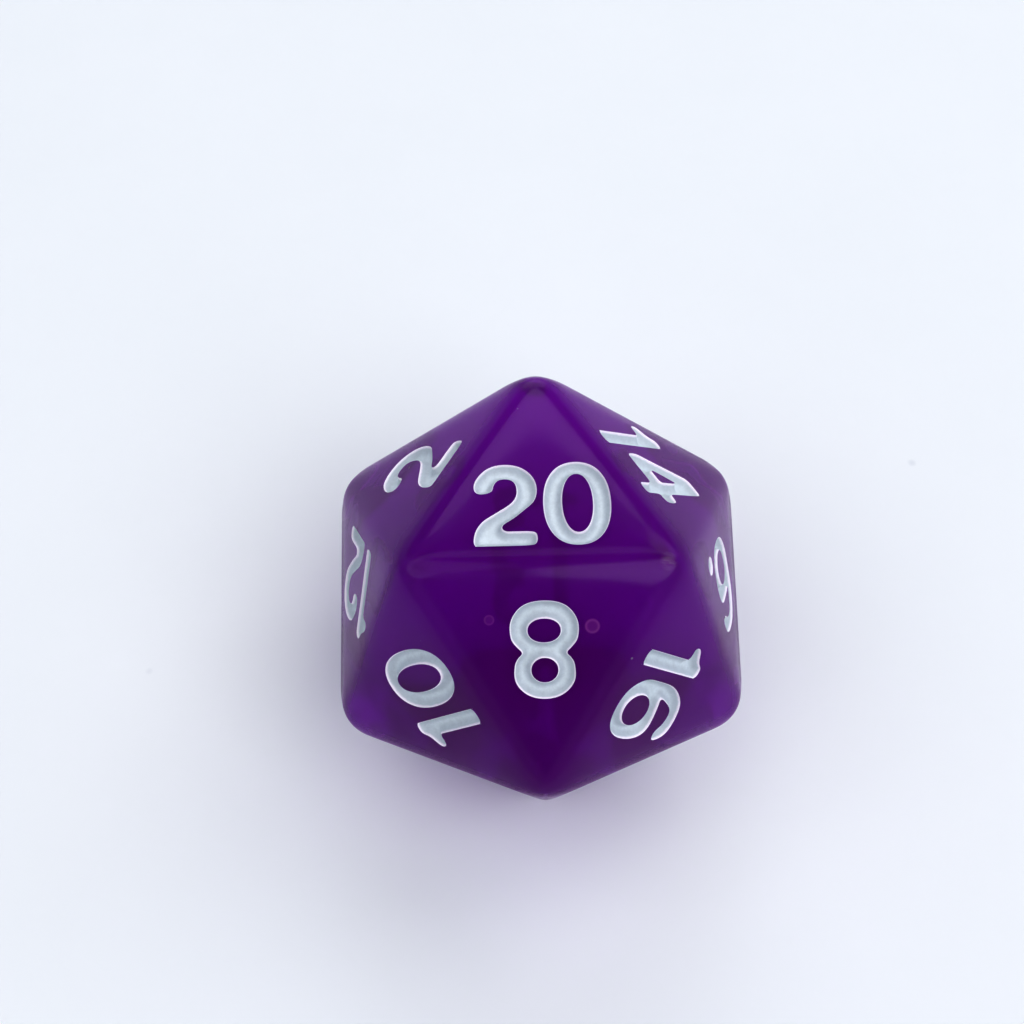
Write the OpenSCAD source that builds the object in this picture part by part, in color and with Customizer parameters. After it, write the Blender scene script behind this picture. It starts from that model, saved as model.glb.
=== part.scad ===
// Twenty-sided polyhedral die, 20 mm between opposite faces.
//
// The die is an icosahedron with rounded edges and corners. It rests on face 1, with face 20 up.
// The origin is the middle of face 1, +Z points up, and -Y is the side of face 8.
// Each face has an engraved numeral, and each engraving is partly filled with cured white paint.

/* [Die] */
// Distance between two opposite faces
face_to_face = 20; // [19:0.5:30]
// Rounding radius along the thirty edges
edge_r = 1.1; // [0.6:0.1:1.4]
// Rounding radius of the twelve corners
corner_r = 2.1; // [1.8:0.1:2.4]
// Facets round one corner
corner_fn = 28; // [20:4:36]

/* [Numerals] */
// Height of a numeral
numeral_h = 4.5; // [3:0.1:4.6]
// Depth of the engraving below the face
engraving_depth = 0.5; // [0.3:0.05:0.8]
// How far the paint lies below the face
paint_recess = 0.15; // [0.05:0.05:0.25]
// Baseline of a one-digit numeral, measured from the middle of its face
single_baseline = -2.05; // [-2.2:0.05:-1.8]
// Baseline of a two-digit numeral, measured from the middle of its face
double_baseline = -2.85; // [-2.9:0.05:-2.6]
// Gap between two digits
digit_gap = 0.28; // [0.2:0.02:0.4]
// Extra gap between a 1 and the digit after it
gap_after_one = 0.3; // [0:0.05:0.4]
// Diameter of the dot after 6 and 9
dot_d = 0.95; // [0.7:0.05:1.1]
// Straight pieces in each bend of an outline
bend_steps = 4; // [2:1:6]

/* [Hidden] */
// An icosahedron with edges of 1 has an inscribed and a circumscribed sphere of these radii
GOLDEN = (1 + sqrt(5)) / 2;
UNIT_INRADIUS = GOLDEN * GOLDEN / (2 * sqrt(3));
UNIT_CIRCUMRADIUS = sqrt(GOLDEN * sqrt(5)) / 2;
// The outward normals of two neighbouring faces are twice this angle apart
HALF_TURN = acos(sqrt(5) / 3) / 2;

in_r = face_to_face / 2;
edge = in_r / UNIT_INRADIUS;
out_r = edge * UNIT_CIRCUMRADIUS;
cap_ring_r = edge / sqrt(3);
belt_ring_r = cap_ring_r * GOLDEN;
belt_h = sqrt(out_r * out_r - belt_ring_r * belt_ring_r);

// Each flat is a triangle with round ends, which pass through the points where the corner balls touch
flat_in_r = edge / (2 * sqrt(3)) - edge_r * tan(HALF_TURN);
flat_corner_r = 2 * flat_in_r - cap_ring_r * (1 - corner_r / in_r);
flat_corner_at = 2 * (flat_in_r - flat_corner_r);
rod_length = flat_corner_at * sqrt(3);
flat_corner_steps = 8;
rod_fn = 48;
plate_t = 0.01;
// The hull stands this much proud of the faces, and is then cut back to true planes
proud = 0.002;

paint_t = engraving_depth - paint_recess;
cutter_h = engraving_depth + 1;
drawn_h = 4.5;

// Corners of the sharp icosahedron about the middle of the die, in four rings of three
function ring(r, z, first) = [for (k = [0:2]) [r * cos(first + 120 * k), r * sin(first + 120 * k), z]];
TOP = ring(cap_ring_r, in_r, 90);
UPPER = ring(belt_ring_r, belt_h, 30);
LOWER = ring(belt_ring_r, -belt_h, 90);
BOTTOM = ring(cap_ring_r, -in_r, 30);
CORNERS = concat(TOP, UPPER, LOWER, BOTTOM);

// Ten faces as [number, the two corners at the numeral's foot, the corner at its head].
// The other ten lie opposite these, and two opposite faces add up to 21.
UPPER_FACES = [
    [20, TOP[1], TOP[2], TOP[0]],
    [8, TOP[1], TOP[2], UPPER[2]],
    [2, TOP[0], TOP[1], UPPER[1]],
    [14, TOP[0], TOP[2], UPPER[0]],
    [12, UPPER[1], TOP[1], LOWER[1]],
    [10, TOP[1], UPPER[2], LOWER[1]],
    [16, TOP[2], UPPER[2], LOWER[2]],
    [6, UPPER[0], TOP[2], LOWER[2]],
    [18, TOP[0], UPPER[1], LOWER[0]],
    [4, TOP[0], UPPER[0], LOWER[0]]
];

// Numerals that were cut a little off the usual size or place: [number, size, shift to the right, shift up]
OFFSETS = [
    [20, 1.01, 0.1, -0.04],
    [8, 1.01, -0.04, 0],
    [2, 1.1, 0.12, 0.05],
    [14, 1.06, 0, 0.22],
    [12, 1.04, 0, 0.16],
    [10, 1.01, 0.03, -0.05],
    [16, 1, -0.05, 0.06],
    [6, 1, -0.3, -0.12]
];

// The digits are drawn 4.5 high, from the left end of the baseline: [width, [outline, holes...]]
ZERO = [3.15, [oval(1.58, 2.28, 1.58, 2.3, 0.47), oval(1.6, 2.28, 0.71, 1.6, 0.44)]];
ONE = [1.58, [bend([
    [0.72, 0.5], [0.72, 0], [1.58, 0], [1.58, 0.5], [1.58, 4], [1.58, 4.5], [1, 4.56],
    [0.75, 4.1], [0, 3.7], [0.05, 3.25], [0.72, 3.3], [0.72, 2.7]
])]];
TWO = [2.97, [bend([
    [0, 3.6], [0.8, 4.5], [2.15, 4.5], [2.98, 3.65], [2.98, 2.5], [2.35, 1.9], [1.85, 1.45], [1.3, 1.1],
    [1.4, 0.78], [2, 0.78], [2.6, 0.78], [2.95, 0.7], [2.95, 0.1], [2.6, 0], [1.5, 0], [0.4, 0],
    [0, 0], [0.05, 0.75], [0.4, 1.35], [1, 1.75], [2, 2.45], [2.05, 3.3], [1.75, 3.66], [1.2, 3.66],
    [0.95, 3.35], [0.9, 2.9], [0.05, 2.8]
])]];
THREE = [2.95, [bend([
    [0, 3.55], [0.65, 4.5], [2.1, 4.6], [2.85, 3.95], [2.75, 2.95], [2.25, 2.4], [2.95, 2.1], [3, 0.85],
    [2.2, -0.05], [0.75, -0.05], [0, 0.75], [0.1, 1.3], [0.8, 1.3], [0.95, 0.8], [1.8, 0.7], [2.1, 1.25],
    [1.85, 2], [1.1, 2], [0.95, 2.4], [1.15, 2.75], [1.75, 2.75], [1.95, 3.3], [1.7, 3.8], [1.05, 3.75],
    [0.85, 3.2], [0.1, 3.15]
])]];
FOUR = [3.3, [bend([
    [2, 0.45], [2, 0], [2.7, 0], [2.7, 0.45], [2.72, 0.97], [3, 0.95], [3.3, 1.1], [3.3, 1.75], [3, 1.88],
    [2.72, 1.85], [2.7, 2.4], [2.7, 4.1], [2.65, 4.5], [2.2, 4.52], [1.6, 4.52], [1.35, 4.15], [0.3, 2.2],
    [0, 1.75], [0, 1], [0.4, 0.97], [1.2, 0.97], [2, 1]
]), bend([
    [1.92, 1.84], [1.92, 2.3], [1.92, 3.15], [1.75, 3], [1.2, 2.15], [1.08, 1.84], [1.4, 1.84]
])]];
FIVE = [2.95, [bend([
    [0.3, 4.05], [0.35, 4.5], [0.9, 4.5], [2.1, 4.5], [2.6, 4.47], [2.6, 3.72], [2.1, 3.72], [1.2, 3.72],
    [1.05, 3.6], [1, 3.15], [1.1, 2.85], [1.85, 3], [2.95, 2.6], [2.98, 0.8], [2.2, -0.05], [0.75, -0.05],
    [0, 0.75], [0.1, 1.3], [0.8, 1.3], [0.95, 0.8], [1.85, 0.7], [2.1, 1.5], [1.8, 2.2], [1.05, 2.2],
    [0.5, 1.9], [0.2, 2.1], [0.25, 3]
])]];
SIX = [3.3, [bend([
    [0, 2], [0.05, 3.4], [0.75, 4.55], [1.7, 4.85], [2.7, 4.75], [3.15, 3.95], [2.85, 3.75], [2.5, 3.8],
    [2.1, 4.1], [1.3, 4.1], [0.9, 3.2], [0.85, 2.8], [1.3, 2.98], [2.7, 3.2], [3.3, 2.3], [3.3, 0.8],
    [2.5, -0.03], [0.9, -0.05], [0.02, 0.9]
]), oval(1.72, 1.46, 0.83, 0.88, 0.42)]];
SEVEN = [3, [bend([
    [0, 3.85], [0, 4.4], [0.35, 4.5], [1.5, 4.5], [2.6, 4.5], [3, 4.4], [3, 3.75], [2.6, 3.15], [1.9, 1.9],
    [1.55, 0.5], [1.45, 0], [0.65, 0], [0.6, 0.5], [0.85, 1.8], [1.5, 3], [2, 3.7], [1.5, 3.72], [0.35, 3.72]
])]];
EIGHT = [3.15, [bend([
    [0, 0.8], [0.75, -0.02], [2.4, -0.02], [3.15, 0.8], [3.15, 1.75], [2.85, 2.15], [2.55, 2.43],
    [2.8, 2.65], [2.98, 3], [2.98, 3.9], [2.2, 4.6], [0.95, 4.6], [0.17, 3.9], [0.17, 3], [0.35, 2.65],
    [0.6, 2.43], [0.3, 2.15], [0, 1.75]
]), oval(1.58, 1.38, 0.75, 0.55, 0.44), oval(1.58, 3.24, 0.61, 0.57, 0.42)]];
NINE = [SIX[0], [for (loop = SIX[1]) [for (p = loop) [SIX[0] - p[0], drawn_h - p[1]]]]];
DIGITS = [ZERO, ONE, TWO, THREE, FOUR, FIVE, SIX, SEVEN, EIGHT, NINE];

function paint_node(number) = str("numeral_", number, "_paint");

// A closed curve that rounds off every corner of a polygon
function bend(corners) =
    let (n = len(corners))
    [for (i = [0:n - 1], k = [0:bend_steps - 1])
        let (
            from = (corners[(i + n - 1) % n] + corners[i]) / 2,
            to = (corners[i] + corners[(i + 1) % n]) / 2,
            t = k / bend_steps
        )
        (1 - t) * (1 - t) * from + 2 * t * (1 - t) * corners[i] + t * t * to
    ];

// An oval that touches the box of half-width rx and half-height ry, squarer as fullness grows from 0.41
function oval(x, y, rx, ry, fullness) = bend([
    for (side = [[1, 1], [-1, 1], [-1, -1], [1, -1]])
        let (
            beside = [x + side[0] * rx, y + side[1] * ry * fullness],
            above = [x + side[0] * rx * fullness, y + side[1] * ry]
        )
        each side[0] * side[1] > 0 ? [beside, above] : [above, beside]
]);

function unit(v) = v / norm(v);

function corners_of(number) =
    let (found = [for (f = UPPER_FACES) if (f[0] == number) [f[1], f[2], f[3]]])
    len(found) > 0 ? found[0] : -1 * corners_of(21 - number);

// The frame of a face: x along the numeral's foot, y towards its head, z out of the face
function face_frame(number) =
    let (
        c = corners_of(number),
        m = (c[0] + c[1] + c[2]) / 3,
        z = unit(m),
        y = unit(c[2] - m),
        x = cross(y, z)
    )
    frame(x, y, z, m);
function frame(x, y, z, at) = [for (i = [0:2]) [x[i], y[i], z[i], at[i]]];

module on_face(number) {
    translate([0, 0, in_r]) multmatrix(face_frame(number)) children();
}

function offset_of(number) =
    let (found = [for (o = OFFSETS) if (o[0] == number) o])
    len(found) > 0 ? found[0] : [number, 1, 0, 0];

// The digits of a number, the left end of each one, and the width of them all
function digits_of(number) = number < 10 ? [number] : [floor(number / 10), number % 10];
function gap_after(digit) = digit_gap + (digit == 1 ? gap_after_one : 0);
function second_at(digits) = DIGITS[digits[0]][0] + gap_after(digits[0]);
function width_of(digits) =
    len(digits) == 1 ? DIGITS[digits[0]][0] : second_at(digits) + DIGITS[digits[1]][0];

module digit_shape(digit) {
    loops = DIGITS[digit][1];
    difference() {
        polygon(loops[0]);
        for (k = [1:1:len(loops) - 1]) polygon(loops[k]);
    }
}

module numeral_shape(number) {
    digits = digits_of(number);
    place = offset_of(number);
    baseline = len(digits) == 1 ? single_baseline : double_baseline;
    size = place[1] * numeral_h / drawn_h;
    foot = [place[2], baseline + place[3]];
    translate(foot) scale([size, size, size]) translate([-width_of(digits) / 2, 0]) {
        digit_shape(digits[0]);
        if (len(digits) == 2) translate([second_at(digits), 0]) digit_shape(digits[1]);
        if (number == 6 || number == 9)
            translate([width_of(digits) + digit_gap + dot_d / 2, dot_d / 2]) circle(d = dot_d, $fn = 32);
    }
}

// Corner ball, edge rod and face plate: the hull of all of them is the rounded icosahedron
module corner_ball(corner) {
    side = unit(cross(corner, abs(corner[2]) < in_r ? [0, 0, 1] : [1, 0, 0]));
    up = unit(corner);
    multmatrix(frame(side, cross(up, side), up, corner * (1 - corner_r / in_r)))
        sphere(r = corner_r, $fn = corner_fn);
}

module edge_rod(a, b) {
    along = unit(b - a);
    out = unit(a + b);
    multmatrix(frame(out, cross(along, out), along, (a + b) / 2 * (1 - edge_r / in_r)))
        cylinder(h = rod_length, r = edge_r, center = true, $fn = rod_fn);
}

module face_plate(number) {
    multmatrix(face_frame(number)) translate([0, 0, proud - plate_t]) linear_extrude(plate_t)
        polygon([for (k = [0:2], s = [-flat_corner_steps / 2:flat_corner_steps / 2])
            let (corner = 90 + 120 * k, turn = corner + 120 * s / flat_corner_steps)
            [flat_corner_at * cos(corner) + flat_corner_r * cos(turn),
             flat_corner_at * sin(corner) + flat_corner_r * sin(turn)]]);
}

// The space between a pair of opposite faces
module face_slab(number) {
    multmatrix(face_frame(number)) translate([0, 0, -in_r])
        cube([3 * out_r, 3 * out_r, face_to_face], center = true);
}

module rounded_icosahedron() {
    translate([0, 0, in_r]) intersection() {
        hull() {
            for (corner = CORNERS) corner_ball(corner);
            for (i = [0:10], j = [i + 1:11])
                if (norm(CORNERS[i] - CORNERS[j]) < 1.1 * edge) edge_rod(CORNERS[i], CORNERS[j]);
            for (number = [1:20]) face_plate(number);
        }
        intersection_for(f = UPPER_FACES) face_slab(f[0]);
    }
}

module die_body() {
    color([0.24, 0.04, 0.42]) difference() {
        rounded_icosahedron();
        for (number = [1:20])
            on_face(number) translate([0, 0, -engraving_depth])
                linear_extrude(cutter_h) numeral_shape(number);
    }
}

module numeral_paint(number) {
    color([0.88, 0.91, 0.93]) on_face(number) translate([0, 0, -engraving_depth])
        linear_extrude(paint_t) numeral_shape(number);
}

die_body();
for (number = [1:20]) numeral_paint(number);
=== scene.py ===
"""A transparent purple twenty-sided die with white-filled numerals, on a pale floor.

Metres, +Z up, in the CAD frame. The die rests on face 1 at the origin, with face 20 up and face 8 towards -Y.
The resin body and the twenty paint fills replace the CAD solids, with the same outlines and sizes.
"""

import itertools
import math

import bpy
import numpy as np
from mathutils import Matrix, Vector
from mathutils.geometry import delaunay_2d_cdt


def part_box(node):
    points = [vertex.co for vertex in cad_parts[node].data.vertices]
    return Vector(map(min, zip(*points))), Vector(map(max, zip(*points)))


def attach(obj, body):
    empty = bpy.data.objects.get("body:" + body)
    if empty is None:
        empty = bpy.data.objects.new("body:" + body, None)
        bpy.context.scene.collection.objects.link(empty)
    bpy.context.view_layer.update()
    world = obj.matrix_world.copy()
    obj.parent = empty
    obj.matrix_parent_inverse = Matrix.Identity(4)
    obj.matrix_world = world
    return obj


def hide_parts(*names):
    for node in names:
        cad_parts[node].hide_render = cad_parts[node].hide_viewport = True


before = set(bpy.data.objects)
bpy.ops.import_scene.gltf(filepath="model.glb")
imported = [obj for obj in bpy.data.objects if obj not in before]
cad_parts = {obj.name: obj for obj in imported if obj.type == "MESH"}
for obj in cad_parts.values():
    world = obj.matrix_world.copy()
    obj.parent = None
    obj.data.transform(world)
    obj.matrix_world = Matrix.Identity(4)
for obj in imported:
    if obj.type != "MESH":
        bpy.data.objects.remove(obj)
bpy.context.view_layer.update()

MM = 0.001

# ---- Sizes of the die --------------------------------------------------------------------------

# Radii of the rounded edges in their middle, and of the balls in the corners
EDGE_R = 1.1 * MM
CORNER_R = 2.1 * MM
GOLDEN = (1 + math.sqrt(5)) / 2
# Half the angle between the outward normals of two neighbouring faces
BETA = math.acos(math.sqrt(5) / 3) / 2
BODY_NODE = "die_body"

box_low, box_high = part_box(BODY_NODE)
in_r = (box_high.z - box_low.z) / 2
edge = in_r * 2 * math.sqrt(3) / GOLDEN ** 2
middle = np.array([0, 0, box_low.z + in_r])

# Each flat is a triangle with round corners, which pass through the points where the corner balls touch it.
# cap_ring_r is the distance from a sharp face's middle to its corners, and the flat's straight sides lie
# flat_inset inside the sharp edges. rod_half is half the length of such a side.
cap_ring_r = edge / math.sqrt(3)
flat_inset = EDGE_R * math.tan(BETA)
flat_in_r = edge / (2 * math.sqrt(3)) - flat_inset
flat_corner_r = 2 * flat_in_r - cap_ring_r * (1 - CORNER_R / in_r)
rod_half = (flat_in_r - flat_corner_r) * math.sqrt(3)

# Steps of the rounded surfaces: across an edge, along each of its flared ends, and from a corner's tip
ACROSS_STEPS = 16
END_STEPS = 10
PATCH_STEPS = 10

# Troughs of the numerals: from the rim to where they are level, and how far the paint sags there
TROUGH_HALF = 0.43 * MM
PAINT_SAG = 0.38 * MM
# The paint reaches this far past the groove's wall, so that no gap shows through the resin
PAINT_BITE = 0.008 * MM

# Spacing of the mesh points: along the outlines, within a numeral, and on the flat around it
OUTLINE_STEP = 0.05 * MM
GRID_STEP = 0.075 * MM
PLAIN_STEP = 0.3 * MM
# Extra loops of points follow a numeral's rim at these distances inside it
LOOP_OFFSETS = [0.02 * MM, 0.055 * MM, 0.1 * MM]
# A moved loop's point is kept if its distance from the rim is at least this share of the offset
OFFSET_KEPT = 0.93
# Grid points stay this share of a step away from the outlines
GRID_GAP = 0.6
# Each stretch of a CAD outline is bent in this many steps before it is divided evenly
SPLINE_STEPS = 8
FEWEST_LOOP_POINTS = 12
# Points that round to the same multiples of WELD are one point. A CAD point at most TOP_GAP below a fill's
# highest point belongs to its upper side.
WELD = 0.0001 * MM
TOP_GAP = 0.001 * MM
# The distances to the outlines are worked out for this many points at a time, to save memory
CHUNK = 2000
# The triangulation's output type 1 keeps what lies inside the outlines. Its tolerance is in millimetres.
KEEP_INSIDE = 1
CDT_TOLERANCE = 1e-5

# How softly the shading of one face turns into the next, as on a tumbled die
SOFTNESS = 0.3 * MM


def unit(v):
    return v / np.linalg.norm(v)


def ring(radius, z, first):
    turns = [math.radians(first + 120 * k) for k in range(3)]
    return [np.array([radius * math.cos(t), radius * math.sin(t), z]) for t in turns]


def die_corners():
    """The twelve corners of the sharp icosahedron, about its middle."""
    out_r = edge * math.sqrt(GOLDEN * math.sqrt(5)) / 2
    belt_r = cap_ring_r * GOLDEN
    belt_z = math.sqrt(out_r ** 2 - belt_r ** 2)
    upper = ring(cap_ring_r, in_r, 90) + ring(belt_r, belt_z, 30)
    lower = ring(belt_r, -belt_z, 90) + ring(cap_ring_r, -in_r, 30)
    return upper + lower


CORNERS = die_corners()
# Corners that share an edge are nearer than this, and the others are at least 1.6 edges apart
TOUCHING_REACH = 1.1 * edge


def touching(i, j):
    return np.linalg.norm(CORNERS[i] - CORNERS[j]) < TOUCHING_REACH


EDGES = [(i, j) for i, j in itertools.combinations(range(12), 2) if touching(i, j)]
FACES = [f for f in itertools.combinations(range(12), 3)
         if all(touching(i, j) for i, j in itertools.combinations(f, 2))]
FACE_NORMALS = np.array([unit(sum(CORNERS[k] for k in face)) for face in FACES])


def soft_normals(points):
    """Outward normals that turn gently from face to face, for points about the die's middle."""
    height = points @ FACE_NORMALS.T
    blend = np.exp((height - height.max(1, keepdims=True)) / SOFTNESS) @ FACE_NORMALS
    return blend / np.linalg.norm(blend, axis=1, keepdims=True)


class Shell:
    """A mesh made of parts that meet.

    Points at the same place become one, and each face corner keeps its own normal.
    """

    def __init__(self):
        self.points, self.faces, self.normals, self.marks = [], [], [], []
        self.count = 0

    def add(self, points, faces, normals, marks=None):
        """normals has one vector per point, and marks one number per point."""
        self.points.append(np.asarray(points, float))
        self.marks.append(np.zeros(len(points)) if marks is None else np.asarray(marks, float))
        for face in faces:
            self.faces.append([k + self.count for k in face])
            self.normals.extend(normals[k] for k in face)
        self.count += len(points)

    def build(self, name, mark_name=None):
        points = np.concatenate(self.points)
        keys = np.round(points / WELD).astype(np.int64)
        _, first, where = np.unique(keys, axis=0, return_index=True, return_inverse=True)
        where = where.reshape(-1)
        mesh = bpy.data.meshes.new(name)
        faces = [[int(where[k]) for k in face] for face in self.faces]
        mesh.from_pydata(points[first].tolist(), [], faces)
        mesh.polygons.foreach_set("use_smooth", [True] * len(mesh.polygons))
        mesh.normals_split_custom_set([Vector(n) for n in self.normals])
        if mark_name:
            marks = np.concatenate(self.marks)[first].astype(np.float32)
            mesh.attributes.new(mark_name, "FLOAT", "POINT").data.foreach_set("value", marks)
        mesh.update()
        piece = bpy.data.objects.new(name, mesh)
        bpy.context.scene.collection.objects.link(piece)
        return piece


# ---- Rounded edges and corners -----------------------------------------------------------------

def stations():
    """Places along an edge, from one end to the other.

    Each is (distance from the edge's middle, inset of the two flats, slope of the edge's radius). A flat's
    round corner turns through 60 degrees from its straight side to its tip.
    """
    half = []
    for a in np.radians(np.arange(END_STEPS + 1) * 60 / END_STEPS):
        inset = flat_inset + flat_corner_r * (1 - math.cos(a))
        half.append((rod_half + flat_corner_r * math.sin(a), inset, math.tan(a) / math.tan(BETA)))
    return [(-s, inset, -slope) for s, inset, slope in reversed(half)] + half


def edge_strip(i, j):
    """The rounded edge between two corners, as rows of (points, normals). It flares towards both ends."""
    a, b = CORNERS[i], CORNERS[j]
    mid, along, out = (a + b) / 2, unit(b - a), unit(a + b)
    side = np.cross(along, out)
    rows = []
    for s, inset, slope in stations():
        r = inset / math.tan(BETA)
        centre = mid + s * along - out * r / math.cos(BETA)
        heading = along - out * slope / math.cos(BETA)
        lean = -slope / np.linalg.norm(heading)
        heading = unit(heading)
        up = unit(out - np.dot(out, heading) * heading)
        width = math.sqrt(1 - lean ** 2)
        most = math.asin(math.sin(BETA) / width)
        turns = [most * (2 * k / ACROSS_STEPS - 1) for k in range(ACROSS_STEPS + 1)]
        across = np.array([math.cos(t) * up + math.sin(t) * side for t in turns])
        normals = lean * heading + width * across
        rows.append((centre + r * normals, normals))
    return rows


def add_grid(shell, rows):
    """Adds rows of (points, normals) of equal length as quads that face outwards."""
    n = len(rows[0][0])
    points = np.concatenate([p for p, _ in rows])
    normals = np.concatenate([m for _, m in rows])
    faces = [(r * n + k, r * n + k + 1, (r + 1) * n + k + 1, (r + 1) * n + k)
             for r in range(len(rows) - 1) for k in range(n - 1)]
    add_outward(shell, points, faces, normals)


def add_outward(shell, points, faces, normals):
    """Adds faces about the die's middle with soft shading, each turned to agree with the outward normals."""
    a, b, c = (points[list(k)] for k in zip(*[f[:3] for f in faces]))
    facing = np.einsum("ij,ij->i", np.cross(b - a, c - a), normals[[f[0] for f in faces]])
    faces = [f if facing[k] > 0 else tuple(reversed(f)) for k, f in enumerate(faces)]
    shell.add(points + middle, faces, soft_normals(points))


def add_corner(shell, corner, arcs):
    """Adds the round corner inside its five edge ends. arcs has the outward normals along each of them."""
    ball = CORNERS[corner] * (1 - CORNER_R / in_r)
    pole = unit(CORNERS[corner])
    for arc in arcs:
        rows = []
        for k in range(1, PATCH_STEPS + 1):
            share = k / PATCH_STEPS
            between = np.array([unit((1 - share) * pole + share * n) for n in arc])
            normals = arc if k == PATCH_STEPS else between
            rows.append((ball + CORNER_R * normals, normals))
        add_grid(shell, rows)
        tip = np.concatenate([[ball + CORNER_R * pole], rows[0][0]])
        tip_normals = np.concatenate([[pole], rows[0][1]])
        fan = [(0, k, k + 1) for k in range(1, len(tip) - 1)]
        add_outward(shell, tip, fan, tip_normals)


# ---- Flats with their numerals -----------------------------------------------------------------

def flat_outline(face, x, y):
    """The edge of a flat as 2-D points in the axes x and y."""
    m = sum(CORNERS[k] for k in face) / 3
    points = []
    for k in range(3):
        a, b = CORNERS[face[k]], CORNERS[face[(k + 1) % 3]]
        mid, along = (a + b) / 2, unit(b - a)
        inward = unit(m - mid)
        points += [mid + s * along + inset * inward for s, inset, _ in stations()][:-1]
    return np.array([[np.dot(p, x), np.dot(p, y)] for p in points])


def cap_loops(node, normal):
    """The closed outlines of a CAD paint solid's upper side, as lists of 3-D points about the die's middle.

    A side of a triangle is on an outline if no other triangle of the upper side runs along it.
    """
    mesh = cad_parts[node].data
    points = np.array([v.co for v in mesh.vertices], float) - middle
    keys = [tuple(np.round(p / WELD).astype(int)) for p in points]
    height = points @ normal
    top = height.max() - TOP_GAP
    place, border = {}, {}
    for polygon in mesh.polygons:
        ids = list(polygon.vertices)
        if min(height[k] for k in ids) < top:
            continue
        for a, b in zip(ids, ids[1:] + ids[:1]):
            place[keys[a]] = points[a]
            if (keys[b], keys[a]) in border:
                del border[(keys[b], keys[a])]
            else:
                border[(keys[a], keys[b])] = True
    follow = dict(border.keys())
    loops = []
    while follow:
        loop, key = [], min(follow)
        while key in follow:
            loop.append(place[key])
            key = follow.pop(key)
        loops.append(np.array(loop))
    return loops


def smooth_loop(loop):
    """A closed 2-D loop through the same points, bent smoothly (Catmull-Rom) and divided evenly."""
    before, here = np.roll(loop, 1, 0), loop
    after, later = np.roll(loop, -1, 0), np.roll(loop, -2, 0)
    fine = []
    for t in np.arange(SPLINE_STEPS) / SPLINE_STEPS:
        bend = (2 * before - 5 * here + 4 * after - later) * t ** 2
        bend = bend + (3 * here - before - 3 * after + later) * t ** 3
        fine.append((2 * here + (after - before) * t + bend) / 2)
    fine = np.stack(fine, 1).reshape(-1, 2)
    ends = np.concatenate([fine, fine[:1]])
    length = np.concatenate([[0], np.cumsum(np.linalg.norm(np.diff(ends, axis=0), axis=1))])
    count = max(FEWEST_LOOP_POINTS, round(length[-1] / OUTLINE_STEP))
    at = np.arange(count) * length[-1] / count
    return np.stack([np.interp(at, length, ends[:, k]) for k in range(2)], 1)


def inside(points, loops):
    """Which of the 2-D points lie within the loops, holes left out."""
    result = np.zeros(len(points), bool)
    x, y = points[:, :1], points[:, 1:]
    for loop in loops:
        a, b = loop, np.roll(loop, -1, 0)
        spans = (a[:, 1] > y) != (b[:, 1] > y)
        rise = np.where(b[:, 1] == a[:, 1], 1, b[:, 1] - a[:, 1])
        cross = x < (b[:, 0] - a[:, 0]) * (y - a[:, 1]) / rise + a[:, 0]
        result ^= ((spans & cross).sum(1) % 2).astype(bool)
    return result


def rim_distance(points, loops):
    """Distance from each 2-D point to the nearest outline."""
    best = np.full(len(points), np.inf)
    for loop in loops:
        a, b = loop, np.roll(loop, -1, 0)
        step = b - a
        for first in range(0, len(points), CHUNK):
            part = slice(first, first + CHUNK)
            p = points[part, None]
            t = np.clip(((p - a) * step).sum(2) / (step ** 2).sum(1), 0, 1)
            d = np.linalg.norm(p - a - t[..., None] * step, axis=2).min(1)
            best[part] = np.minimum(best[part], d)
    return best


def hex_grid(points, step):
    """Points spaced evenly, in staggered rows, over the box of some 2-D points."""
    corner, far = points.min(0), points.max(0)
    rows = []
    for k, y in enumerate(np.arange(corner[1], far[1], step * math.sqrt(3) / 2)):
        x = np.arange(corner[0] + (k % 2) * step / 2, far[0], step)
        rows.append(np.stack([x, np.full(len(x), y)], 1))
    return np.concatenate(rows)


def plain_grid(outline, loops):
    """Points on the flat around its numeral."""
    grid = hex_grid(outline, PLAIN_STEP)
    borders = [outline, *loops]
    return grid[inside(grid, borders) & (rim_distance(grid, borders) > GRID_GAP * PLAIN_STEP)]


def trough_points(loops):
    """Points within the outlines: offset loops beside the rim, and a hexagonal grid between them."""
    found = []
    for offset in LOOP_OFFSETS:
        for loop in loops:
            along = np.roll(loop, -1, 0) - np.roll(loop, 1, 0)
            left = np.stack([-along[:, 1], along[:, 0]], 1)
            left = left / np.linalg.norm(along, axis=1, keepdims=True)
            moved = loop + offset * left
            keep = inside(moved, loops) & (rim_distance(moved, loops) > OFFSET_KEPT * offset)
            found.append(moved[keep])
    grid = hex_grid(np.concatenate(loops), GRID_STEP)
    grid = grid[inside(grid, loops)]
    grid = grid[rim_distance(grid, loops) > LOOP_OFFSETS[-1] + GRID_GAP * GRID_STEP]
    found.append(grid)
    return np.concatenate(found)


def trough_depth(distance, most):
    """A rounded trough: steep at the rim, level in the middle."""
    return most * (1 - (1 - np.minimum(distance / TROUGH_HALF, 1)) ** 2)


def surface_normals(points, faces):
    """Smooth normals of a triangle mesh, weighted by area."""
    triangles = np.array(faces)
    a, b, c = (points[triangles[:, k]] for k in range(3))
    areas = np.cross(b - a, c - a)
    total = np.zeros_like(points)
    for k in range(3):
        np.add.at(total, triangles[:, k], areas)
    size = np.linalg.norm(total, axis=1, keepdims=True)
    return total / np.where(size > 0, size, 1)


def used_only(faces, *arrays):
    """The faces renumbered so that they use the points in a row, and each array cut to those points."""
    used = sorted({k for face in faces for k in face})
    place = {k: n for n, k in enumerate(used)}
    return [[place[k] for k in face] for face in faces], *(array[used] for array in arrays)


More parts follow.
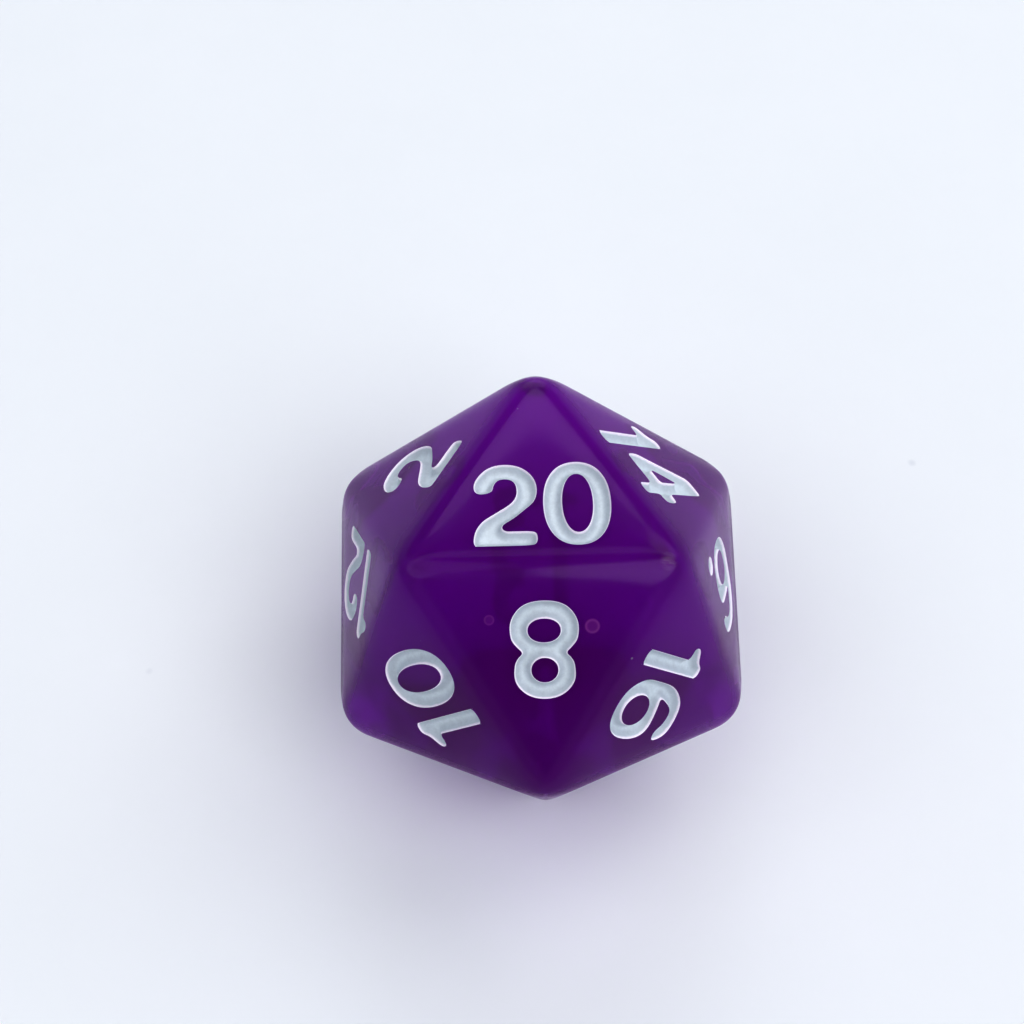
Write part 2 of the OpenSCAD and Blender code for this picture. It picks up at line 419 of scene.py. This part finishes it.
def triangles(points, outlines):
    """Counter-clockwise triangles that join 2-D points, of which the outlines' own come first, in order."""
    fences, start = [], 0
    for outline in outlines:
        end = start + len(outline)
        fences += [(k, k + 1 if k + 1 < end else start) for k in range(start, end)]
        start = end
    made = delaunay_2d_cdt([Vector(p / MM) for p in points], fences, [], KEEP_INSIDE, CDT_TOLERANCE)
    back = [ids[0] for ids in made[3]]
    faces = np.array([[back[k] for k in f] for f in made[2]])
    corners = points[faces]
    turn = np.cross(corners[:, 1] - corners[:, 0], corners[:, 2] - corners[:, 0])
    faces[turn < 0] = faces[turn < 0][:, ::-1]
    return faces


def paint_fill(number, level, faces, reach, groove_d, z):
    """The paint that lines a groove: sagging on top, and pressed a little into the resin underneath.

    level is the points at the flat's height, reach their distance from the rim, and z the face's normal.
    """
    paint = Shell()
    marks = reach / MM
    top = level - trough_depth(reach, PAINT_SAG)[:, None] * z
    paint.add(top + middle, faces, surface_normals(top, faces), marks)
    bite = PAINT_BITE * np.minimum(reach / LOOP_OFFSETS[0], 1)
    under = level - (trough_depth(reach, groove_d) + bite)[:, None] * z
    bottom = [list(reversed(f)) for f in faces]
    paint.add(under + middle, bottom, surface_normals(under, bottom), marks)
    return paint.build(f"numeral_{number}_fill", "rim_distance")


def add_flat(shell, face, number):
    """Adds a flat and its groove to the body's shell, and returns the paint fill of the groove."""
    z = unit(sum(CORNERS[k] for k in face))
    x = unit(CORNERS[face[1]] - CORNERS[face[0]])
    y = np.cross(z, x)
    axes = np.array([x, y])
    node = f"numeral_{number}_paint"
    outline = flat_outline(face, x, y)
    loops = [smooth_loop(loop @ axes.T) for loop in cap_loops(node, z)]
    points = np.concatenate([outline, *loops, trough_points(loops), plain_grid(outline, loops)])
    faces = triangles(points, [outline, *loops])
    in_numeral = inside(points[faces].mean(1), loops)
    solid = np.array([v.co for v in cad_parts[node].data.vertices], float) - middle
    groove_d = in_r - (solid @ z).min()

    distance = rim_distance(points, loops)
    distance[len(outline):len(outline) + sum(map(len, loops))] = 0
    level = points @ axes + in_r * z

    plain, plain_points = used_only(faces[~in_numeral].tolist(), level)
    shell.add(plain_points + middle, plain, soft_normals(plain_points))

    groove, inner, reach = used_only(faces[in_numeral].tolist(), level, distance)
    floor_points = inner - trough_depth(reach, groove_d)[:, None] * z
    shell.add(floor_points + middle, groove, surface_normals(floor_points, groove))
    return paint_fill(number, inner, groove, reach, groove_d, z)


def numeral_on(face):
    """The number whose CAD paint lies on this face."""
    z = unit(sum(CORNERS[k] for k in face))

    def out(number):
        a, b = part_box(f"numeral_{number}_paint")
        return np.dot((np.array(a) + np.array(b)) / 2 - middle, z)
    return max(range(1, 21), key=out)


def make_die():
    """The resin body, and the paint fills by their numbers."""
    shell = Shell()
    ends = {k: [] for k in range(12)}
    for i, j in EDGES:
        rows = edge_strip(i, j)
        add_grid(shell, rows)
        ends[i].append(rows[0][1])
        ends[j].append(rows[-1][1])
    for corner, arcs in ends.items():
        add_corner(shell, corner, arcs)
    fills = {}
    for face in FACES:
        number = numeral_on(face)
        fills[number] = add_flat(shell, face, number)
    return shell.build("resin_body"), fills


# ---- Materials ---------------------------------------------------------------------------------

# Sockets of the Mix node when it mixes colours: its factor and two colours, and its result
MIX_IN = (0, 6, 7)
MIX_OUT = 2
# Most of a noise lies in this range
NOISE_RANGE = (0.3, 0.7)


def node_tree(name):
    """A new material, its tree, a maker of its nodes, its shader and its output.

    make("TexNoise", Scale=3) adds a Noise Texture node with that input set, and returns it.
    """
    material = bpy.data.materials.new(name)
    material.use_nodes = True
    tree = material.node_tree

    def make(kind, **inputs):
        node = tree.nodes.new("ShaderNode" + kind)
        for socket, value in inputs.items():
            node.inputs[socket.replace("_", " ")].default_value = value
        return node
    return material, tree, make, tree.nodes["Principled BSDF"], tree.nodes["Material Output"]


def set_inputs(node, **values):
    for socket, value in values.items():
        node.inputs[socket.replace("_", " ")].default_value = value


def ramp(make, tree, source, stops):
    """A colour that runs through stops of (place, grey or colour), driven by a socket from 0 to 1."""
    node = make("ValToRGB")
    elements = node.color_ramp.elements
    while len(elements) < len(stops):
        elements.new(0.5)
    for element, (place, colour) in zip(elements, stops):
        element.position = place
        element.color = (*np.broadcast_to(colour, 3).astype(float), 1)
    tree.links.new(source, node.inputs["Fac"])
    return node.outputs["Color"]


def scaled(make, tree, source, low, high, new_low, new_high):
    """A number that runs from new_low to new_high as the source runs from low to high."""
    node = make("MapRange", From_Min=low, From_Max=high, To_Min=new_low, To_Max=new_high)
    tree.links.new(source, node.inputs["Value"])
    return node.outputs["Result"]


def mixed(make, tree, factor, first, second, blend="MIX"):
    """The mix of two colours, each a socket or a plain colour, by a factor that is a socket or a number."""
    node = make("Mix")
    node.data_type = "RGBA"
    node.blend_type = blend
    for k, value in zip(MIX_IN, (factor, first, second)):
        if isinstance(value, bpy.types.NodeSocket):
            tree.links.new(value, node.inputs[k])
        else:
            node.inputs[k].default_value = value
    return node.outputs[MIX_OUT]


def combined(make, tree, operation, first, second):
    """The sum or the product of two numbers, each a socket."""
    node = make("Math")
    node.operation = operation
    tree.links.new(first, node.inputs[0])
    tree.links.new(second, node.inputs[1])
    return node.outputs[0]


RESIN_COLOUR = (0.48, 0.005, 0.74, 1)
RESIN_COLOUR_THICK = (0.42, 0.003, 0.66, 1)
RESIN_GLOSS = (0.08, 0.15)
# Dust: a speck's soft edge in shares of a noise cell. A cell has a speck if its random number is past the
# limit.
SPECK_COLOUR = (1, 0.85, 1, 1)
SPECK_EDGE = (0.025, 0.05)
SPECK_LIMIT = (0.35, 0.37)
# Small round marks on face 8: millimetres across and up from its middle, radius, strength
MARK_COLOUR = (1, 0.25, 1, 1)
FACE_8_MARKS = [(2.25, 0.81, 0.38, 0.9), (-2.48, 1.2, 0.27, 0.55)]
# A mark from its middle to its edge: (share of the radius, share of the strength)
MARK_PROFILE = [(0, 0.35), (0.5, 0.35), (0.78, 1), (1, 0)]
# Face 8's outward normal, and the way up the face
FACE_8_OUT = np.array([0, -2, math.sqrt(5)]) / 3
FACE_8_UP = np.array([0, math.sqrt(5), 2]) / 3
# A scuff beside a corner of face 20: its middle, from the die's middle, and its reach, in millimetres
SCUFF_COLOUR = (1, 0.65, 1, 1)
SCUFF_PLACE = (5.74, -3.68, 9.62)
SCUFF_REACH = 0.5
SCUFF_PROFILE = [(0, 0.8), (0.5, 0.5), (1, 0)]
# Its hairs: the turn and the fineness of their noise along three axes, and their edges
SCUFF_TURN = math.radians(35)
SCUFF_GRAIN = (1500, 6000, 3000)
SCUFF_HAIRS = [(0.35, 0), (0.65, 1)]


def round_mark(make, tree, place, centre, radius, stops):
    """A grey that runs through stops of (share of the radius, grey) outwards from a centre in metres."""
    away = make("VectorMath")
    away.operation = "DISTANCE"
    away.inputs[1].default_value = centre
    tree.links.new(place, away.inputs[0])
    return ramp(make, tree, scaled(make, tree, away.outputs["Value"], 0, radius, 0, 1), stops)


def add_specks(make, tree, place, colour):
    cells = make("TexVoronoi", Scale=620, Randomness=1)
    tree.links.new(place, cells.inputs["Vector"])
    near = scaled(make, tree, cells.outputs["Distance"], *SPECK_EDGE, 1, 0)
    chance = make("SeparateColor")
    tree.links.new(cells.outputs["Color"], chance.inputs["Color"])
    few = scaled(make, tree, chance.outputs["Red"], *SPECK_LIMIT, 0, 1)
    return mixed(make, tree, combined(make, tree, "MULTIPLY", near, few), colour, SPECK_COLOUR)


def add_marks(make, tree, place, colour):
    for x, y, radius, strength in FACE_8_MARKS:
        centre = middle + MM * (np.array([x, 0, 0]) + y * FACE_8_UP) + in_r * FACE_8_OUT
        stops = [(share, grey * strength) for share, grey in MARK_PROFILE]
        mark = round_mark(make, tree, place, centre, radius * MM, stops)
        colour = mixed(make, tree, mark, colour, MARK_COLOUR)
    return colour


def add_scuff(make, tree, place, colour):
    brushed = make("TexNoise", Scale=1, Detail=4, Roughness=0.7)
    along = make("Mapping", Rotation=(0, 0, SCUFF_TURN), Scale=SCUFF_GRAIN)
    tree.links.new(place, along.inputs["Vector"])
    tree.links.new(along.outputs["Vector"], brushed.inputs["Vector"])
    centre = middle + np.array(SCUFF_PLACE) * MM
    scuff = round_mark(make, tree, place, centre, SCUFF_REACH * MM, SCUFF_PROFILE)
    hairs = ramp(make, tree, brushed.outputs["Fac"], SCUFF_HAIRS)
    streaky = mixed(make, tree, 1.0, scuff, hairs, "MULTIPLY")
    return mixed(make, tree, streaky, colour, SCUFF_COLOUR)


def resin_material():
    """Clear purple resin with a little haze, faint streaks of dye, a smudged gloss and some small marks."""
    material, tree, make, shader, output = node_tree("purple_resin")
    place = make("TexCoord").outputs["Object"]
    streaks = make("TexNoise", Scale=160, Detail=3, Roughness=0.5, Distortion=1.2)
    smudges = make("TexNoise", Scale=420, Detail=4, Roughness=0.6)
    for node in (streaks, smudges):
        tree.links.new(place, node.inputs["Vector"])
    colour = mixed(make, tree, streaks.outputs["Fac"], RESIN_COLOUR, RESIN_COLOUR_THICK)
    for add in (add_specks, add_marks, add_scuff):
        colour = add(make, tree, place, colour)
    tree.links.new(colour, shader.inputs["Base Color"])
    gloss = scaled(make, tree, smudges.outputs["Fac"], *NOISE_RANGE, *RESIN_GLOSS)
    tree.links.new(gloss, shader.inputs["Roughness"])
    set_inputs(shader, Transmission_Weight=0.76, IOR=1.34, Subsurface_Weight=0.4, Subsurface_Scale=3 * MM)
    set_inputs(shader, Subsurface_Radius=(1, 0.1, 1.2))
    absorption = make("VolumeAbsorption", Color=(0.8, 0.05, 0.84, 1), Density=310)
    tree.links.new(absorption.outputs[0], output.inputs["Volume"])
    return material


# Paint colours from the rim inwards: (share of the reach, colour), with the reach in millimetres. They are
# painted light and shade: a painted highlight along the rim, painted shade on the trough's walls, and lighter
# painted shade on its bed.
# A painted highlight along each numeral's rim
PAINT_RIM_HIGHLIGHT = (0.98, 0.9, 1.0)
# Painted shade on the trough's walls, under the rim
PAINT_WALL_SHADE = (0.6, 0.645, 0.7)
# The trough's bed, greyer than the rim with a little painted shade
PAINT_BED = (0.72, 0.775, 0.825)
PAINT_LIGHT_AND_SHADE = [(0, PAINT_RIM_HIGHLIGHT), (0.07, PAINT_RIM_HIGHLIGHT), (0.19, PAINT_WALL_SHADE), (0.4, PAINT_WALL_SHADE), (0.9, PAINT_BED)]
PAINT_SHADE_REACH = 0.45
# The width of the band in which each change of shade wavers, in millimetres
PAINT_WAVER = 0.12
PAINT_MOTTLE = [(0.35, 0.9), (0.65, 1.0)]
PAINT_ROUGHNESS = (0.42, 0.6)


def paint_material():
    """Chalky paint, with a painted highlight along the rim and painted shade down in the trough, deepest on
    its walls.
    """
    material, tree, make, shader, _ = node_tree("white_paint")
    distance = make("Attribute")
    distance.attribute_name = "rim_distance"
    place = make("TexCoord").outputs["Object"]
    mottle = make("TexNoise", Scale=3600, Detail=6, Roughness=0.75)
    grain = make("TexNoise", Scale=9000, Detail=3)
    for node in (mottle, grain):
        tree.links.new(place, node.inputs["Vector"])
    waver = scaled(make, tree, mottle.outputs["Fac"], 0, 1, -PAINT_WAVER / 2, PAINT_WAVER / 2)
    wavering = combined(make, tree, "ADD", distance.outputs["Fac"], waver)
    # The painted highlight at the rim and the painted shade in the trough, by distance from the rim
    shade = ramp(make, tree, scaled(make, tree, wavering, 0, PAINT_SHADE_REACH, 0, 1), PAINT_LIGHT_AND_SHADE)
    cloud = ramp(make, tree, mottle.outputs["Fac"], PAINT_MOTTLE)
    tree.links.new(mixed(make, tree, 1.0, shade, cloud, "MULTIPLY"), shader.inputs["Base Color"])
    bump = make("Bump", Strength=0.25, Distance=0.01 * MM)
    tree.links.new(grain.outputs["Fac"], bump.inputs["Height"])
    tree.links.new(bump.outputs["Normal"], shader.inputs["Normal"])
    roughness = scaled(make, tree, mottle.outputs["Fac"], *NOISE_RANGE, *PAINT_ROUGHNESS)
    tree.links.new(roughness, shader.inputs["Roughness"])
    return material


FLOOR_TONES = [(0.3, (0.838, 0.848, 0.872)), (0.7, (0.852, 0.86, 0.884))]
# A speck's soft edge, in shares of a noise cell, and its strength
FLOOR_SPECK_EDGE = (0.012, 0.03)
FLOOR_SPECK_STRENGTH = 0.25
FLOOR_SPECK_COLOUR = (0.45, 0.47, 0.55, 1)


def floor_material():
    """Smooth pale card with a barely uneven tone and a few specks."""
    material, tree, make, shader, _ = node_tree("pale_floor")
    place = make("TexCoord").outputs["Object"]
    cloud = make("TexNoise", Scale=45, Detail=6, Roughness=0.65)
    specks = make("TexVoronoi", Scale=75, Randomness=1)
    for node in (cloud, specks):
        tree.links.new(place, node.inputs["Vector"])
    tone = ramp(make, tree, cloud.outputs["Fac"], FLOOR_TONES)
    spot = scaled(make, tree, specks.outputs["Distance"], *FLOOR_SPECK_EDGE, FLOOR_SPECK_STRENGTH, 0)
    tree.links.new(mixed(make, tree, spot, tone, FLOOR_SPECK_COLOUR), shader.inputs["Base Color"])
    set_inputs(shader, Roughness=0.9, Specular_IOR_Level=0.1)
    return material


# ---- Stage, lights and camera ------------------------------------------------------------------

FLOOR_HALF = 1.5


def make_floor():
    mesh = bpy.data.meshes.new("floor")
    h = FLOOR_HALF
    mesh.from_pydata([(-h, -h, 0), (h, -h, 0), (h, h, 0), (-h, h, 0)], [], [(0, 1, 2, 3)])
    floor = bpy.data.objects.new("floor", mesh)
    bpy.context.scene.collection.objects.link(floor)
    mesh.materials.append(floor_material())


# The world is bright all round at low angles. It is dim overhead, where the viewer stands, and in two
# patches behind, and brighter on one side than on the other. Each part is (direction, cosine where the
# change starts, cosine where it ends, share before, share after).
OVERHEAD = ((0, 0, 1), 0.76, 0.88, 1.0, 0.13)
VIEWER = ((0, -0.84, 0.54), 0.9, 0.975, 1.0, 0.15)
DARK_LEFT = ((-0.44, 0.68, 0.587), 0.915, 0.98, 1.0, 0.25)
DARK_RIGHT = ((0.44, 0.68, 0.587), 0.915, 0.98, 1.0, 0.25)
BRIGHT_SIDE = ((0.6, 0.8, 0), -1, 1, 0.72, 1.28)
WORLD_STRENGTH = 0.7
WORLD_COLOUR = (0.84, 0.93, 1.03, 1)


def make_world():
    world = bpy.data.worlds.new("studio")
    bpy.context.scene.world = world
    world.use_nodes = True
    nodes, links = world.node_tree.nodes, world.node_tree.links
    background = nodes["Background"]
    way = nodes.new("ShaderNodeTexCoord")

    def share(axis, start, end, low, high):
        dot = nodes.new("ShaderNodeVectorMath")
        dot.operation = "DOT_PRODUCT"
        dot.inputs[1].default_value = axis
        links.new(way.outputs["Generated"], dot.inputs[0])
        spread = nodes.new("ShaderNodeMapRange")
        spread.interpolation_type = "SMOOTHSTEP"
        for socket, value in zip(("From Min", "From Max", "To Min", "To Max"), (start, end, low, high)):
            spread.inputs[socket].default_value = value
        links.new(dot.outputs["Value"], spread.inputs["Value"])
        return spread.outputs["Result"]

    product = nodes.new("ShaderNodeMath")
    product.operation = "MULTIPLY"
    product.inputs[1].default_value = WORLD_STRENGTH
    links.new(share(*OVERHEAD), product.inputs[0])
    for part in (VIEWER, DARK_LEFT, DARK_RIGHT, BRIGHT_SIDE):
        so_far, product = product, nodes.new("ShaderNodeMath")
        product.operation = "MULTIPLY"
        links.new(so_far.outputs[0], product.inputs[0])
        links.new(share(*part), product.inputs[1])
    links.new(product.outputs[0], background.inputs["Strength"])
    background.inputs["Color"].default_value = WORLD_COLOUR


def direction(azimuth, elevation):
    """The way out from the die, from degrees. Azimuth 0 is in front, towards -Y, and 90 is towards +X."""
    a, e = math.radians(azimuth), math.radians(elevation)
    return Vector((math.sin(a) * math.cos(e), -math.cos(a) * math.cos(e), math.sin(e)))


LIGHT_DISTANCE = 1.5
NEARLY_WHITE = (1, 0.99, 0.98)
# Name, azimuth and elevation in degrees, width and height in metres, power in watts, colour
LIGHTS = [
    ("key", 125, 51, 1.0, 1.0, 3.8, (1, 0.975, 0.95)),
    ("ceiling", 180, 77, 2.1, 0.3, 1.44, NEARLY_WHITE),
    ("back_box", 180, 45, 1.1, 0.42, 2.0, NEARLY_WHITE),
    ("back_low", 180, 20, 1.0, 0.8, 1.9, NEARLY_WHITE),
    ("left_box", -62, 58, 1.5, 1.5, 6.1, NEARLY_WHITE),
    ("right_box", 42, 52, 1.32, 1.32, 10.4, (1, 0.985, 0.97)),
]


def area_light(name, azimuth, elevation, width, height, power, colour):
    """Adds an oval light that looks at the die's middle."""
    data = bpy.data.lights.new(name, "AREA")
    data.shape = "ELLIPSE"
    data.size = width
    data.size_y = height
    data.energy = power
    data.color = colour
    light = bpy.data.objects.new(name, data)
    towards = direction(azimuth, elevation)
    light.location = Vector(middle) + towards * LIGHT_DISTANCE
    light.visible_camera = False
    light.rotation_mode = "QUATERNION"
    light.rotation_quaternion = towards.to_track_quat("Z", "Y")
    bpy.context.scene.collection.objects.link(light)


# The camera's place as seen from the die's middle, in degrees and metres, and its lens in millimetres
CAMERA_AZIMUTH = -2.17
CAMERA_ELEVATION = 61.07
CAMERA_ROLL = -0.54
CAMERA_DISTANCE = 66.72 * MM
CAMERA_LENS = 43.4
CAMERA_NEAREST = 1 * MM
# The die's middle lies this many degrees to the right of the view's axis, and this many below it
AIM_RIGHT = 1.234
AIM_BELOW = 3.882


def make_camera():
    data = bpy.data.cameras.new("camera")
    data.lens = CAMERA_LENS
    data.clip_start = CAMERA_NEAREST
    camera = bpy.data.objects.new("camera", data)
    back = direction(CAMERA_AZIMUTH, CAMERA_ELEVATION)
    camera.location = Vector(middle) + back * CAMERA_DISTANCE
    seen = Vector((math.tan(math.radians(AIM_RIGHT)), -math.tan(math.radians(AIM_BELOW)), -1))
    straight = (-back).to_track_quat("-Z", "Y").to_matrix()
    roll = Matrix.Rotation(math.radians(-CAMERA_ROLL), 3, "Z")
    aim = seen.rotation_difference(Vector((0, 0, -1))).to_matrix()
    camera.rotation_mode = "QUATERNION"
    camera.rotation_quaternion = (straight @ roll @ aim).to_quaternion()
    bpy.context.scene.collection.objects.link(camera)
    bpy.context.scene.camera = camera


# Below 1, this darkens the middle tones, so that the resin is deep beside a bright floor
VIEW_GAMMA = 1 / 1.5

make_camera()
body, fills = make_die()
body.data.materials.append(resin_material())
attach(body, "root")
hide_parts(BODY_NODE)
paint = paint_material()
for number, fill in sorted(fills.items()):
    fill.data.materials.append(paint)
    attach(fill, "root")
    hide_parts(f"numeral_{number}_paint")

make_floor()
make_world()
for light in LIGHTS:
    area_light(*light)
bpy.context.scene.view_settings.view_transform = "Standard"
bpy.context.scene.view_settings.gamma = VIEW_GAMMA
